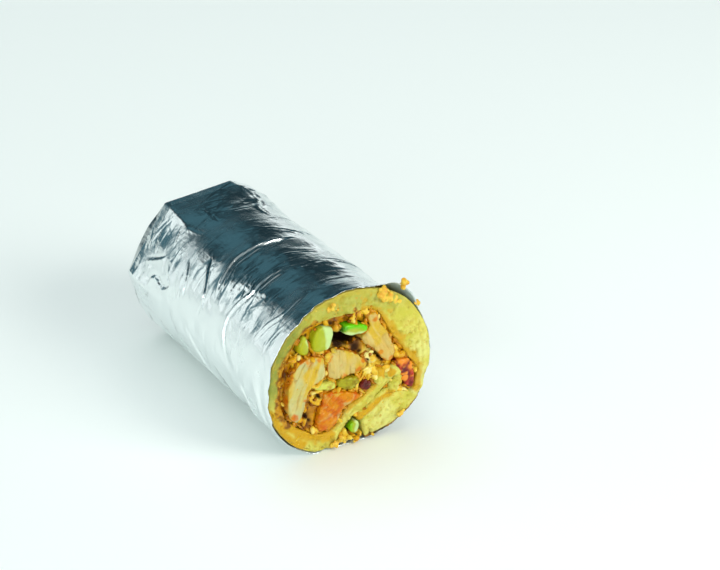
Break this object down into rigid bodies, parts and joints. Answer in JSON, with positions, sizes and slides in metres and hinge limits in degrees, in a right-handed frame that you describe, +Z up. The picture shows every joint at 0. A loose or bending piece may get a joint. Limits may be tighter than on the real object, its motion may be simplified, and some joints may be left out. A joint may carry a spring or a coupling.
{
  "type": "doner kebab sandwich",
  "caption": "Foil-wrapped flatbread roll cut across, lying on its side, with rolled bread, chicken slabs, cucumber and sauced filling showing at the cut face.",
  "frame": {"origin": "middle of the footprint, on the surface that the roll lies on", "axes": "+Y along the roll from the cut face to the closed end, +Z up, +X to the right seen from the cut"},
  "size_m": [0.063, 0.1064, 0.0577],
  "materials": {
    "foil": "crinkled kitchen foil, bright, with soft reflections",
    "bread": "soft porous flatbread, sauce-stained",
    "chicken_pale": "moist fibrous meat",
    "chicken_brown": "meat soaked in orange sauce",
    "cucumber": "wet pale green flesh with a darker skin",
    "olive_green": "soft pickled vegetable",
    "onion": "translucent cooked strip",
    "char": "charred, glistening dark red-brown",
    "sauced_mix": "loose shreds in orange-brown sauce"
  },
  "bodies": {
    "root": {"foil_wrap": "foil", "flatbread": "bread", "chicken_left": "chicken_pale", "chicken_top": "chicken_pale", "chicken_right": "chicken_pale", "chicken_sauced": "chicken_brown", "cucumber_rind": "cucumber", "cucumber_pale": "cucumber", "cucumber_slice": "cucumber", "cucumber_low": "cucumber", "pepper_olive": "olive_green", "onion_strip": "onion", "char_mid": "char", "char_side": "char", "filling_mix": "sauced_mix", "shreds_low": "sauced_mix"}
  },
  "joints": []
}
